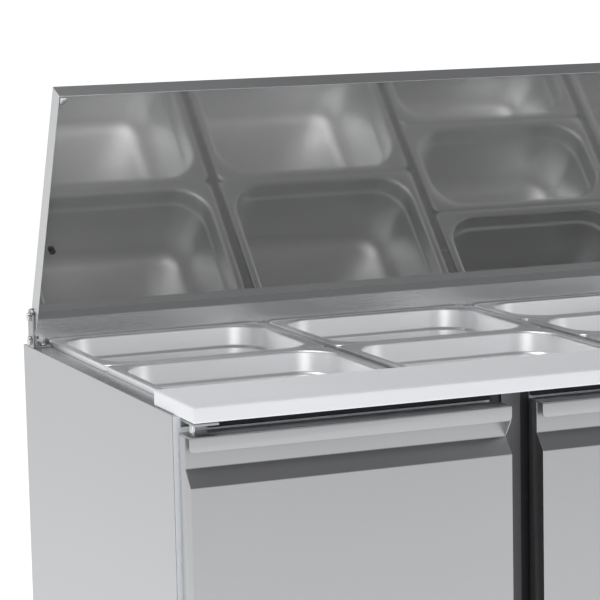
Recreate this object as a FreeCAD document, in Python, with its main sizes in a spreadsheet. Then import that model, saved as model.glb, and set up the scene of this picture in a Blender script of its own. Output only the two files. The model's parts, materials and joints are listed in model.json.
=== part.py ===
import FreeCAD, Part
import math
import os
import Sketcher

# A three-door refrigerated sandwich prep table: an insulated steel counter with four columns of
# gastronorm pans under a two-part folding cover, and a plastic cutting board along its front edge.
# The origin is on the floor under the middle; +X is the right-hand end, +Y the back, +Z up.

doc = FreeCAD.newDocument("sandwich_prep_table")
sheet = doc.addObject("Spreadsheet::Sheet", "sizes")

DIMENSIONS = (
    ("total_width", 1400, "casing, end to end"),
    ("total_depth", 700, "front of the cutting board to the back of the casing"),
    ("casing_top", 856, "height of the deck that the board lies on"),
    ("board_overhang", 68, "front of the cutting board beyond the front face of the casing"),
    ("foot_height", 90, "underside of the casing above the floor"),
    ("bay_height", 160, "machine bay under the cold compartment"),
    ("sheet", 1.2, "steel sheet of casing, doors and cover"),
    ("wall", 34, "insulated wall, outside to inside"),
    ("floor_wall", 40, "insulated floor of the compartment"),
    ("liner_sheet", 1, "inner liner"),
    ("deck_sheet", 1.5, "top deck and upstand"),
    ("frame_depth", 35, "depth of the door frame"),
    ("fit_gap", 0.3, "gap between a loose or moving piece and its seat"),
    ("pan_width", 325, "gastronorm width of every pan"),
    ("row_depth", 530, "depth of one whole gastronorm column"),
    ("pan_step", 15, "gap between two columns of pans"),
    ("pan_rim", 9, "height of the pan rim above the deck"),
    ("pan_ledge", 12, "rim overhang around the basin"),
    ("pan_depth", 150, "depth of the pans"),
    ("pan_sheet", 1, "steel of the pans"),
    ("pan_corner", 54, "corner radius at the mouth of a basin"),
    ("board_depth", 142, "cutting board, front to back"),
    ("board_thick", 20, "cutting board thickness"),
    ("board_inset", 3, "board end to casing end"),
    ("board_to_pans", 2, "board to the front row of pans"),
    ("door_inset", 3.5, "outer door edge to casing end"),
    ("door_space", 44, "space between two doors"),
    ("door_thick", 40, "door thickness"),
    ("door_gap", 11, "door back to frame face, filled by the seal"),
    ("door_lower", 12, "door bottom above the machine bay"),
    ("door_upper", 19.5, "door top below the deck"),
    ("door_overlap", 30, "door edge beyond its opening"),
    ("grip_lip", 19, "height of the hanging lip of the grip"),
    ("grip_depth", 17, "depth of the grip recess"),
    ("grip_wall", 41.5, "door top to the foot of the recess wall"),
    ("grip_slope", 21, "height of the slope under the recess"),
    ("grip_sheet", 1.5, "sheet of the lip"),
    ("seal_inset", 15, "door edge to the seal"),
    ("seal_width", 14, "width of the seal"),
    ("hinge_inset", 14, "door edge to hinge axis"),
    ("hinge_pin", 4, "hinge pin radius"),
    ("pin_play", 0.05, "radial play of pins and bolts"),
    ("pivot_back", 36, "cover pivot to casing back"),
    ("pivot_up", 44, "cover pivot above the deck"),
    ("cover_inset", 4, "cover end to casing end"),
    ("cover_length", 362, "cover pivot to its front edge"),
    ("cover_open", 66.57, "angle of the open cover above the closed one"),
    ("cover_rise", 7, "outer skin above the pivot, cover closed"),
    ("cover_liner", 3, "inner panel below the pivot, cover closed"),
    ("cover_flange", 23, "flange edge below the pivot, cover closed"),
    ("flap_length", 164, "flap hinge to the front edge of the flap"),
    ("flap_inset", 18, "flap end to casing end"),
    ("flap_hinge_back", 12, "flap hinge behind the front edge of the cover"),
    ("flap_hinge_up", 4.5, "flap hinge above the cover skin"),
    ("flap_skirt", 19, "depth of the flap skirt below its skin"),
    ("bolt", 4, "radius of the cover bolts"),
    ("bolt_head", 6.2, "radius of the bolt heads and nuts"),
    ("fan_blade", 52, "tip radius of the fans"),
)
for row, (alias, value, note) in enumerate(DIMENSIONS, 1):
    sheet.set(f"A{row}", note)
    sheet.set(f"B{row}", str(value))
    sheet.setAlias(f"B{row}", alias)
doc.recompute()


class Size:
    """A length worked out from the sheet: arithmetic on it writes a longer expression."""

    def __init__(self, text):
        self.text = text

    def __add__(self, other):
        return Size(f"({self.text} + {other})")

    def __radd__(self, other):
        return Size(f"({other} + {self.text})")

    def __sub__(self, other):
        return Size(f"({self.text} - {other})")

    def __rsub__(self, other):
        return Size(f"({other} - {self.text})")

    def __mul__(self, other):
        return Size(f"({self.text} * {other})")

    def __rmul__(self, other):
        return Size(f"({other} * {self.text})")

    def __truediv__(self, other):
        return Size(f"({self.text} / {other})")

    def __neg__(self):
        return Size(f"(0 - {self.text})")

    def __str__(self):
        return self.text


class Sheet:
    """The driving dimensions, one attribute for each alias."""

    def __getattr__(self, alias):
        return Size(f"sizes.{alias}")


size = Sheet()
ZERO = Size("0")
nodes = []


def number(length):
    return float(sheet.evalExpression(str(length)))


def bind(thing, **expressions):
    for name, length in expressions.items():
        thing.setExpression(name, str(length))


def put(thing, x, y, z):
    for axis, length in zip("xyz", (x, y, z)):
        thing.setExpression(f"Placement.Base.{axis}", str(length))


def box(name, corner, extent):
    block = doc.addObject("Part::Box", name)
    bind(block, Length=extent[0], Width=extent[1], Height=extent[2])
    put(block, *corner)
    return block


TURN = {
    "x": FreeCAD.Rotation(FreeCAD.Vector(0, 1, 0), 90),
    "y": FreeCAD.Rotation(FreeCAD.Vector(1, 0, 0), -90),
    "z": FreeCAD.Rotation(),
}


def rod(name, start, length, radius, axis="z"):
    round_bar = doc.addObject("Part::Cylinder", name)
    round_bar.Placement = FreeCAD.Placement(FreeCAD.Vector(), TURN[axis])
    bind(round_bar, Radius=radius, Height=length)
    put(round_bar, *start)
    return round_bar


def fuse(name, pieces):
    whole = doc.addObject("Part::MultiFuse", name)
    whole.Shapes = pieces
    whole.Refine = True
    return whole


def cut(name, base, tools):
    rest = doc.addObject("Part::Cut", name)
    rest.Base = base
    rest.Tool = tools[0] if len(tools) == 1 else fuse(f"{name}_tools", tools)
    return rest


def group(name, pieces):
    several = doc.addObject("Part::Compound", name)
    several.Links = pieces
    return several


def node(label, thing):
    thing.Label = label
    nodes.append(thing)
    return thing


def on_side(side, x, width):
    """The low X of a block that starts at x from the middle, on the left (-1) or right (+1)."""
    return x if side > 0 else -(x + width)


def sketch_on(body, plane, offset, name):
    """An empty sketch on one of the body's own origin planes, moved along the plane's normal."""
    sketch = body.newObject("Sketcher::SketchObject", name)
    support = next(item for item in body.Origin.OriginFeatures if item.Role == plane)
    sketch.AttachmentSupport = [(support, "")]
    sketch.MapMode = "FlatFace"
    sketch.setExpression("AttachmentOffset.Base.z", str(offset))
    return sketch


def draw_outline(sketch, corners):
    """A closed outline whose corners are all held to sheet expressions."""
    count = len(corners)
    places = [(number(u), number(v)) for u, v in corners]
    for index, here in enumerate(places):
        there = places[(index + 1) % count]
        line = Part.LineSegment(FreeCAD.Vector(*here, 0), FreeCAD.Vector(*there, 0))
        sketch.addGeometry(line, False)
    for index in range(count):
        sketch.addConstraint(Sketcher.Constraint("Coincident", index, 2, (index + 1) % count, 1))
    for index, corner in enumerate(corners):
        for kind, length, now in zip(("DistanceX", "DistanceY"), corner, places[index]):
            held = sketch.addConstraint(Sketcher.Constraint(kind, -1, 1, index, 1, now))
            sketch.setExpression(f"Constraints[{held}]", str(length))


def draw_rounded(sketch, width, depth, radius):
    """A rectangle about the sketch origin with four equal round corners."""
    half_w, half_d, r = number(width) / 2, number(depth) / 2, number(radius)
    turns = ((1, -1, -90), (1, 1, 0), (-1, 1, 90), (-1, -1, 180))
    arcs = []
    for sx, sy, start in turns:
        middle = FreeCAD.Vector(sx * (half_w - r), sy * (half_d - r), 0)
        circle = Part.Circle(middle, FreeCAD.Vector(0, 0, 1), r)
        arc = Part.ArcOfCircle(circle, math.radians(start), math.radians(start + 90))
        arcs.append(sketch.addGeometry(arc, False))
    lines = []
    for index, arc in enumerate(arcs):
        here = sketch.getPoint(arc, 2)
        there = sketch.getPoint(arcs[(index + 1) % 4], 1)
        lines.append(sketch.addGeometry(Part.LineSegment(here, there), False))
    for index in range(4):
        sketch.addConstraint(Sketcher.Constraint("Tangent", arcs[index], 2, lines[index], 1))
        sketch.addConstraint(Sketcher.Constraint("Tangent", lines[index], 2, arcs[(index + 1) % 4], 1))
    for index in (1, 2, 3):
        sketch.addConstraint(Sketcher.Constraint("Equal", arcs[0], arcs[index]))
    for index, way in enumerate(("Vertical", "Horizontal")):
        sketch.addConstraint(Sketcher.Constraint(way, lines[index * 3]))
    held = sketch.addConstraint(Sketcher.Constraint("Radius", arcs[0], r))
    sketch.setExpression(f"Constraints[{held}]", str(radius))
    places = (("DistanceX", lines[0], width / 2, half_w), ("DistanceY", lines[1], depth / 2, half_d),
              ("DistanceX", lines[2], -(width / 2), -half_w), ("DistanceY", lines[3], -(depth / 2), -half_d))
    for kind, line, length, now in places:
        held = sketch.addConstraint(Sketcher.Constraint(kind, -1, 1, line, 1, now))
        sketch.setExpression(f"Constraints[{held}]", str(length))


def draw_circle(sketch, x, y, radius):
    """A circle held to sheet expressions."""
    middle = FreeCAD.Vector(number(x), number(y), 0)
    sketch.addGeometry(Part.Circle(middle, FreeCAD.Vector(0, 0, 1), number(radius)), False)
    for kind, place in (("DistanceX", x), ("DistanceY", y)):
        held = sketch.addConstraint(Sketcher.Constraint(kind, -1, 1, 0, 3, number(place)))
        sketch.setExpression(f"Constraints[{held}]", str(place))
    held = sketch.addConstraint(Sketcher.Constraint("Radius", 0, number(radius)))
    sketch.setExpression(f"Constraints[{held}]", str(radius))


def add_feature(body, kind, name, sketch, length=None, reverse=False):
    feature = body.newObject(f"PartDesign::{kind}", name)
    feature.Profile = sketch
    if length is not None:
        bind(feature, Length=length)
    feature.Reversed = reverse
    body.Tip = feature
    return feature


def profile_body(label, corners, start, length):
    """A PartDesign body: an outline in the YZ plane, padded along +X from start."""
    body = doc.addObject("PartDesign::Body", label)
    sketch = sketch_on(body, "YZ_Plane", start, f"{label}_outline")
    draw_outline(sketch, corners)
    add_feature(body, "Pad", f"{label}_pad", sketch, length)
    return body


# ---- Levels and faces that several pieces share ----
back = size.total_depth / 2
board_front = -back
front = board_front + size.board_overhang
casing_depth = back - front
end = size.total_width / 2
top = size.casing_top
bay_top = size.foot_height + size.bay_height
deck_under = top - size.deck_sheet
inner_end = end - size.wall
inner_back = back - size.wall
floor_top = bay_top + size.floor_wall
frame_back = front + size.frame_depth

# Four columns of pans stand side by side about the middle, just behind the cutting board.
columns = 4
column_pitch = size.pan_width + size.pan_step
pans_left = -(size.pan_width * 4 + size.pan_step * 3) / 2
pans_front = board_front + size.board_depth + size.board_to_pans
pans_back = pans_front + size.row_depth

# Three doors share the width.
door_width = (size.total_width - size.door_inset * 2 - size.door_space * 2) / 3
door_bottom = bay_top + size.door_lower
door_top = top - size.door_upper
door_back = front - size.door_gap
door_front = door_back - size.door_thick
door_lefts = [-end + size.door_inset + (door_width + size.door_space) * index for index in range(3)]
door_names = ("left", "middle", "right")
hinge_sides = (-1, 1, 1)
hinge_y = door_back - size.hinge_inset


def hinge_x(index):
    left = door_lefts[index]
    return left + size.hinge_inset if hinge_sides[index] < 0 else left + door_width - size.hinge_inset


# ---- Casing: two end panels and a back, each one bent sheet ----
def end_panel(side):
    name = "side_panel_left" if side < 0 else "side_panel_right"
    height = top - size.foot_height
    panel = box(f"{name}_sheet", (on_side(side, end - size.sheet, size.sheet), front, size.foot_height),
                (size.sheet, casing_depth, height))
    node(name, group(f"{name}_part", [panel]))


for side in (-1, 1):
    end_panel(side)

inlet_x, inlet_z, inlet_w, inlet_h, inlet_d = -end + 90, size.foot_height + 40, 50, 28, 30
panel_width = size.total_width - size.sheet * 2
back_sheet = box("back_sheet", (-end + size.sheet, back - size.sheet, size.foot_height),
                 (panel_width, size.sheet, deck_under - size.foot_height))
back_cuts = [box("inlet_cut", (inlet_x, back - size.sheet * 2, inlet_z), (inlet_w, size.sheet * 4, inlet_h))]
vent_count, vent_width, vent_height, vent_pitch, vent_space = 6, 260, 8, 18, 40
vent_left, vent_low = 120, size.foot_height + 35
for column in range(2):
    for row in range(vent_count):
        vent_x = vent_left + column * (vent_width + vent_space)
        back_cuts.append(box("back_vent", (vent_x, back - size.sheet * 2, vent_low + row * vent_pitch),
                             (vent_width, size.sheet * 4, vent_height)))
node("back_panel", cut("back_panel_part", back_sheet, back_cuts))

# ---- Insulation: foam panels that meet face to face, with a post between the door openings ----
room_height = deck_under - floor_top
foam_front = front + size.sheet
opening_low = door_bottom + size.door_overlap
opening_high = door_top - size.door_overlap
opening_width = door_width - size.door_overlap * 2
opening_lefts = [left + size.door_overlap for left in door_lefts]
foam_depth = back - size.sheet - foam_front
side_foam = end - size.sheet - inner_end
foam = [
    box("foam_floor", (-end + size.sheet, foam_front, bay_top), (panel_width, foam_depth, size.floor_wall)),
    box("foam_back", (-inner_end, inner_back, floor_top),
        (inner_end * 2, back - size.sheet - inner_back, room_height)),
    box("foam_sill", (-inner_end, foam_front, floor_top),
        (inner_end * 2, frame_back - foam_front, opening_low - floor_top)),
    box("foam_head", (-inner_end, foam_front, opening_high),
        (inner_end * 2, frame_back - foam_front, deck_under - opening_high)),
]
for side in (-1, 1):
    foam.append(box("foam_side", (on_side(side, inner_end, side_foam), foam_front, floor_top),
                    (side_foam, foam_depth, room_height)))
for left in opening_lefts[1:]:
    post_width = size.door_overlap * 2 + size.door_space
    foam.append(box("foam_post", (left - post_width, foam_front, opening_low),
                    (post_width, frame_back - foam_front, opening_high - opening_low)))
node("insulation", group("insulation_part", foam))

# ---- Liner: a bent sheet against the foam, open towards the doors and the deck ----
liner_block = box("liner_block", (-inner_end, frame_back, floor_top),
                  (inner_end * 2, inner_back - frame_back, room_height))
liner_room = box("liner_room", (-inner_end + size.liner_sheet, frame_back - 1, floor_top + size.liner_sheet),
                 ((inner_end - size.liner_sheet) * 2, inner_back - size.liner_sheet - frame_back + 1,
                  room_height + 1))
node("liner", cut("liner_part", liner_block, [liner_room]))

# ---- Front frame: the sheet that the doors close against, with one opening behind each ----
frame_sheet = box("frame_sheet", (-end + size.sheet, front, bay_top),
                  (panel_width, size.sheet, deck_under - bay_top))
frame_cuts = []
for index, left in enumerate(opening_lefts):
    frame_cuts.append(box("opening", (left, front - 1, opening_low),
                          (opening_width, size.sheet + 2, opening_high - opening_low)))
node("front_frame", cut("front_frame_part", frame_sheet, frame_cuts))

cover_width, cover_thick, backing_width, backing_thick = 28, 3.5, 56, 1.5
backings, covers = [], []
for index in range(2):
    middle = door_lefts[index] + door_width + size.door_space / 2
    height = door_top - door_bottom + size.door_upper - 6
    backings.append(box("mullion_backing", (middle - backing_width / 2, front - backing_thick, door_bottom),
                        (backing_width, backing_thick, height)))
    cover_y = front - backing_thick - cover_thick
    covers.append(box("mullion_cover", (middle - cover_width / 2, cover_y, door_bottom),
                      (cover_width, cover_thick, height)))
node("mullion_backings", group("mullion_backings_part", backings))
node("mullion_covers", group("mullion_covers_part", covers))

# A black rubber strip with round ends runs along the rail above each door.
strip_height, strip_thick, strip_free = 7, 5, 10
bracket_out, bracket_in = 7, 25
bracket_width = bracket_out + bracket_in
strips = []
for index in range(3):
    hinge_end = size.hinge_inset + bracket_in + strip_height / 2 + 1
    length = door_width - hinge_end - strip_free
    start = door_lefts[index] + (hinge_end if hinge_sides[index] < 0 else strip_free)
    level = door_top + 1
    bar = box("strip_bar", (start, front - strip_thick, level), (length, strip_thick, strip_height))
    caps = [rod("strip_end", (start + length * far, front - strip_thick, level + strip_height / 2),
                strip_thick, strip_height / 2, "y") for far in (0, 1)]
    strips.append(fuse("rail_strip", [bar] + caps))
node("rail_strips", group("rail_strips_part", strips))

# ---- Top deck: one sheet with a single opening that all the pan basins hang through ----
deck_plate = box("deck_plate", (-end + size.sheet, front, deck_under),
                 (panel_width, casing_depth - size.sheet, size.deck_sheet))
deck_hole = box("deck_hole", (pans_left + size.pan_ledge, pans_front + size.pan_ledge, deck_under - 1),
                (-(pans_left + size.pan_ledge) * 2, size.row_depth - size.pan_ledge * 2, size.deck_sheet + 2))
node("top_deck", cut("top_deck_part", deck_plate, [deck_hole]))

bars = []
bar_flange, bar_ridge, bar_rise = 35, 13, 7
for index in range(1, columns):
    middle = pans_left + column_pitch * index - size.pan_step / 2
    flange = box("bar_flange", (middle - bar_flange / 2, pans_front + size.pan_ledge, deck_under),
                 (bar_flange, size.row_depth - size.pan_ledge * 2, size.deck_sheet))
    ridge = box("bar_ridge", (middle - bar_ridge / 2, pans_front, top),
                (bar_ridge, size.row_depth, bar_rise))
    bars.append(fuse("pan_bar", [flange, ridge]))
node("pan_bars", group("pan_bars_part", bars))

upstand_y, upstand_depth, upstand_rise, upstand_inset = pans_back + 4, 12, 38, 6
upstand_end = end - upstand_inset
node("rear_upstand", profile_body("rear_upstand", (
    (upstand_y, top), (upstand_y, top + upstand_rise),
    (upstand_y + upstand_depth, top + upstand_rise), (upstand_y + upstand_depth, top),
    (upstand_y + upstand_depth - size.deck_sheet, top),
    (upstand_y + upstand_depth - size.deck_sheet, top + upstand_rise - size.deck_sheet),
    (upstand_y + size.deck_sheet, top + upstand_rise - size.deck_sheet),
    (upstand_y + size.deck_sheet, top)), -upstand_end, upstand_end * 2))

# ---- Cover brackets: a foot screwed to the deck and a plate bolted to it, at each end ----
pivot_y = back - size.pivot_back
pivot_z = top + size.pivot_up
cover_end = end - size.cover_inset
plate_thick, plate_width, foot_width, foot_rise = 3, 24, 20, 16
screw_rise, screw_head, screw_from_bolt = 3, 4.5, 6
plate_x = cover_end + size.fit_gap
lower_bolt_z = top + 10
feet, plates, bolts, screws = [], [], [], []
for side in (-1, 1):
    foot_x = plate_x - plate_thick
    leaf = box("foot_leaf", (on_side(side, foot_x, plate_thick), pivot_y - plate_width / 2, top),
               (plate_thick, plate_width, foot_rise))
    flat = box("foot_flat", (on_side(side, foot_x - foot_width, foot_width), pivot_y - plate_width / 2, top),
               (foot_width, plate_width, plate_thick))
    feet.append(fuse("bracket_foot", [leaf, flat]))
    upright = box("plate_upright", (on_side(side, plate_x, plate_thick), pivot_y - plate_width / 2, top),
                  (plate_thick, plate_width, size.pivot_up))
    crown = rod("plate_crown", (on_side(side, plate_x, plate_thick), pivot_y, pivot_z),
                plate_thick, plate_width / 2, "x")
    plates.append(fuse("bracket_plate", [upright, crown]))
    nut_thick, head_thick = 5, 4.5
    shank_in = cover_end - size.sheet - size.fit_gap - nut_thick
    for level, inner in ((pivot_z, shank_in), (lower_bolt_z, foot_x - nut_thick)):
        length = plate_x + plate_thick - inner
        shank = rod("bolt_shank", (on_side(side, inner, length), pivot_y, level), length, size.bolt, "x")
        head = rod("bolt_head", (on_side(side, plate_x + plate_thick, head_thick), pivot_y, level),
                   head_thick, size.bolt_head, "x")
        nut = rod("bolt_nut", (on_side(side, inner, nut_thick), pivot_y, level),
                  nut_thick, size.bolt_head, "x")
        bolts.append(fuse("cover_bolt", [shank, head, nut]))
    screw_x = on_side(side, foot_x - foot_width / 2, 0)
    screws.append(rod("deck_screw", (screw_x, pivot_y - screw_from_bolt, top + plate_thick),
                      screw_rise, screw_head))
bolt_holes = group("bolt_holes", bolts)
bracket_halves = [cut(f"bracket_{index}", piece, [bolt_holes]) for index, piece in enumerate(feet + plates)]
node("cover_brackets", group("cover_brackets_part", bracket_halves))
node("cover_bolts", group("cover_bolts_part", bolts + screws))

# ---- Door hinge brackets: an angle above and below each door, each with a fixed pin ----
bracket_leaf, bracket_thick, leaf_rise, pin_reach = 50, 3, 8, 22
brackets, pins = [], []
upper_level = top - 7
lower_level = bay_top + 4
for index in range(3):
    middle = hinge_x(index)
    for level, leaf_z, pin_z, pin_length in (
            (upper_level, upper_level - leaf_rise, door_top - pin_reach,
             upper_level - door_top + pin_reach + bracket_thick),
            (lower_level, lower_level, lower_level, door_bottom - lower_level + pin_reach)):
        side = hinge_sides[index]
        bracket_x = middle - bracket_out if side < 0 else middle - bracket_in
        flat = box("hinge_flat", (bracket_x, front - bracket_leaf, level),
                   (bracket_width, bracket_leaf, bracket_thick))
        leaf = box("hinge_leaf", (bracket_x, front - bracket_thick, leaf_z),
                   (bracket_width, bracket_thick, leaf_rise + bracket_thick))
        pin = rod("hinge_pin", (middle, hinge_y, pin_z), pin_length, size.hinge_pin)
        brackets.append(cut("hinge_bracket", fuse("hinge_angle", [flat, leaf]), [pin]))
        pins.append(pin)
node("hinge_brackets", group("hinge_brackets_part", brackets))
node("hinge_pins", group("hinge_pins_part", pins))


# ---- Doors: a folded steel skin with a built-in grip, an insulated core and a magnetic seal ----
def door_outline(inset, rear):
    """Side outline of the door body; inset follows the sheet inside, rear is the back face."""
    face = door_front + inset
    recess = door_front + size.grip_depth + inset
    return ((rear, door_bottom + inset), (face, door_bottom + inset),
            (face, door_top - size.grip_wall - size.grip_slope - inset / 2),
            (recess, door_top - size.grip_wall - inset / 2),
            (recess, door_top - inset), (rear, door_top - inset))


def door(index):
    name = f"door_{door_names[index]}"
    left = door_lefts[index]
    skin = profile_body(f"{name}_skin", door_outline(ZERO, door_back), left, door_width)
    lip = sketch_on(skin, "YZ_Plane", left, f"{name}_lip_outline")
    lip_back = door_front + size.grip_depth + size.sheet
    draw_outline(lip, ((door_front, door_top - size.grip_lip), (door_front, door_top),
                       (lip_back, door_top), (lip_back, door_top - size.grip_sheet),
                       (door_front + size.grip_sheet, door_top - size.grip_sheet),
                       (door_front + size.grip_sheet, door_top - size.grip_lip)))
    add_feature(skin, "Pad", f"{name}_lip_pad", lip, door_width)
    room = sketch_on(skin, "YZ_Plane", left + size.sheet, f"{name}_room_outline")
    draw_outline(room, door_outline(size.sheet, door_back + 1))
    add_feature(skin, "Pocket", f"{name}_room", room, door_width - size.sheet * 2, True)
    hinge = hinge_x(index)
    holes = sketch_on(skin, "XY_Plane", door_bottom - 1, f"{name}_pin_holes")
    draw_circle(holes, hinge, hinge_y, size.hinge_pin + size.pin_play)
    add_feature(skin, "Pocket", f"{name}_pin_bores", holes, door_top - door_bottom + 2, True)
    node(f"{name}_skin", skin)

    core = profile_body(f"{name}_core_blank", door_outline(size.sheet, door_back),
                        left + size.sheet, door_width - size.sheet * 2)
    bores = [rod("core_bore", (hinge, hinge_y, level), pin_reach + 2, size.hinge_pin + size.pin_play)
             for level in (door_bottom - 1, door_top - pin_reach - 1)]
    node(f"{name}_core", cut(f"{name}_core_part", core, bores))

    seal_y = front - size.fit_gap
    outer = box("seal_outer", (left + size.seal_inset, door_back, door_bottom + size.seal_inset),
                (door_width - size.seal_inset * 2, seal_y - door_back,
                 door_top - door_bottom - size.seal_inset * 2))
    inset = size.seal_inset + size.seal_width
    inner = box("seal_inner", (left + inset, door_back - 1, door_bottom + inset),
                (door_width - inset * 2, seal_y - door_back + 2, door_top - door_bottom - inset * 2))
    node(f"{name}_seal", cut(f"{name}_seal_part", outer, [inner]))


for index in range(3):
    door(index)

# ---- Cutting board: one thick plastic slab that lifts off ----
board_length = size.total_width - size.board_inset * 2
board = doc.addObject("PartDesign::Body", "cutting_board")
board_plan = sketch_on(board, "XY_Plane", top + size.fit_gap, "board_plan")
draw_outline(board_plan, ((-board_length / 2, board_front), (board_length / 2, board_front),
                          (board_length / 2, board_front + size.board_depth),
                          (-board_length / 2, board_front + size.board_depth)))
add_feature(board, "Pad", "board_pad", board_plan, size.board_thick)
node("cutting_board", board)


# ---- Gastronorm pans: a flat rim with a turned-down edge and a tapered basin ----
pan_play, rim_corner, pan_taper, pan_chamfer, corner_fall = 0.5, 10, 8, 8, 6


def pan(label, column, first, share):
    """A pan in a column, from the fraction first of its depth and the fraction share deep."""
    depth = size.row_depth * share - pan_play
    width = size.pan_width - pan_play
    body = doc.addObject("PartDesign::Body", label)
    rim = sketch_on(body, "XY_Plane", -(size.pan_rim - size.fit_gap), f"{label}_rim")
    draw_rounded(rim, width, depth, rim_corner + size.pan_sheet)
    add_feature(body, "Pad", f"{label}_rim_pad", rim, size.pan_rim - size.fit_gap)
    edge = sketch_on(body, "XY_Plane", -(size.pan_rim + 1), f"{label}_edge")
    draw_rounded(edge, width - size.pan_sheet * 2, depth - size.pan_sheet * 2, rim_corner + ZERO)
    add_feature(body, "Pocket", f"{label}_edge_pocket", edge, size.pan_rim + 1 - size.pan_sheet, True)
    for inset, kind in ((0, "AdditiveLoft"), (size.pan_sheet, "SubtractiveLoft")):
        rims = []
        levels = ((ZERO, 0, 0), (size.pan_depth - pan_chamfer, pan_taper, corner_fall),
                  (size.pan_depth - inset, pan_taper + pan_chamfer, corner_fall))
        for level, (drop, narrower, tighter) in enumerate(levels):
            ring = sketch_on(body, "XY_Plane", -drop, f"{label}_{kind}_{level}")
            less = (size.pan_ledge + narrower + inset) * 2
            draw_rounded(ring, width - less, depth - less, size.pan_corner - tighter - inset)
            rims.append(ring)
        loft = body.newObject(f"PartDesign::{kind}", f"{label}_{kind}")
        loft.Profile = rims[0]
        loft.Sections = rims[1:]
        loft.Ruled = True
        body.Tip = loft
    centre_x = pans_left + column_pitch * column + size.pan_width / 2
    centre_y = pans_front + size.row_depth * (first + share / 2)
    put(body, centre_x, centre_y, top + size.pan_rim)
    node(label, body)


for column, column_name in enumerate(("first", "second")):
    pan(f"pan_half_{column_name}_front", column, 0, 0.5)
    pan(f"pan_half_{column_name}_rear", column, 0.5, 0.5)
for row, row_name in enumerate(("front", "middle", "rear")):
    pan(f"pan_third_{row_name}", 2, row / 3, 1 / 3)
pan("pan_whole", 3, 0, 1)


# ---- Cover: a shallow tray with an inner panel, drawn closed about its pivot and then opened ----
def swung(name, pieces):
    """Pieces drawn about the cover's pivot with the cover closed, turned to the open angle."""
    part = group(name, pieces)
    part.setExpression("Placement", "create(<<placement>>; create(<<vector>>; 0; "
                       f"{pivot_y}; {pivot_z}); create(<<rotation>>; create(<<vector>>; 1; 0; 0); "
                       "0 - sizes.cover_open))")
    return part


cover_front = -size.cover_length
ear = 11
skin_depth = size.cover_rise + size.cover_flange
rear_flange = -9.2 + ZERO
sheets = [
    box("cover_top", (-cover_end, cover_front, size.cover_rise - size.sheet),
        (cover_end * 2, size.cover_length + rear_flange + size.sheet, size.sheet)),
    box("cover_front_flange", (-cover_end, cover_front, -size.cover_flange),
        (cover_end * 2, size.sheet, skin_depth)),
    box("cover_rear_flange", (-cover_end, rear_flange, -size.cover_flange),
        (cover_end * 2, size.sheet, skin_depth)),
]
ears = [box("cover_side",
            (on_side(side, cover_end - size.sheet, size.sheet), cover_front, -size.cover_flange),
            (size.sheet, size.cover_length + ear, skin_depth)) for side in (-1, 1)]
bore = rod("pivot_bore", (-end, 0, 0), size.total_width, size.bolt + size.pin_play, "x")
cover_shape = cut("cover_shape", fuse("cover_sheets", sheets + ears), [bore])
node("cover_skin", swung("cover_skin_part", [cover_shape]))
inner_sheet = box("cover_inner_sheet",
                  (-cover_end + size.sheet, cover_front + size.sheet, -size.cover_liner),
                  ((cover_end - size.sheet) * 2, size.cover_length - size.sheet + rear_flange,
                   size.liner_sheet))
node("cover_inner_panel", swung("cover_inner_panel_part", [inner_sheet]))

stop_radius, stop_depth, stop_place, stop_inset = 4.5, 6, -110, 18
stops = [rod("cover_stop", (on_side(side, cover_end - stop_inset, 0), stop_place,
                            -size.cover_liner - stop_depth),
             stop_depth, stop_radius) for side in (-1, 1)]
node("cover_stops", swung("cover_stops_part", stops))

# ---- Flap hinge: knuckles of two leaves take turns along one pin ----
hinge_at = cover_front + size.flap_hinge_back
hinge_up = size.cover_rise + size.flap_hinge_up
knuckle_radius, knuckles, knuckle_gap, leaf_thick = 4, 12, 0.6, 1.2
flap_end = end - size.flap_inset
knuckle_pitch = flap_end * 2 / knuckles
leaf_sheet = box("cover_leaf_sheet", (-flap_end, hinge_at + knuckle_radius + 1, size.cover_rise),
                 (flap_end * 2, 14, leaf_thick))
tabs = []
flap_knuckles = []
for index in range(knuckles):
    start = -flap_end + knuckle_pitch * index + knuckle_gap / 2
    length = knuckle_pitch - knuckle_gap
    if index % 2 == 0:
        tube = rod("cover_knuckle", (start, hinge_at, hinge_up), length, knuckle_radius, "x")
        tab = box("cover_tab", (start, hinge_at, size.cover_rise),
                  (length, knuckle_radius + 1, size.flap_hinge_up - knuckle_radius + leaf_thick))
        tabs += [tube, tab]
    else:
        flap_knuckles.append((start, length))
hinge_rod = rod("flap_rod", (-flap_end, hinge_at, hinge_up), flap_end * 2, 1.5, "x")
fixed_leaf = fuse("fixed_leaf", [leaf_sheet, hinge_rod] + tabs)
node("flap_hinge_fixed", swung("flap_hinge_fixed_part", [fixed_leaf]))


# ---- Flap: drawn laid out about its own hinge, then folded back on to the cover ----
def folded(name, pieces):
    part = group(name, pieces)
    opened = "sizes.cover_open"
    part.setExpression("Placement", "create(<<placement>>; create(<<vector>>; 0; "
                       f"{pivot_y} + {hinge_at} * cos({opened}) + {hinge_up} * sin({opened}); "
                       f"{pivot_z} - {hinge_at} * sin({opened}) + {hinge_up} * cos({opened})); "
                       "create(<<rotation>>; create(<<vector>>; 1; 0; 0); "
                       f"0 - {opened} - 180))")
    return part


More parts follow.
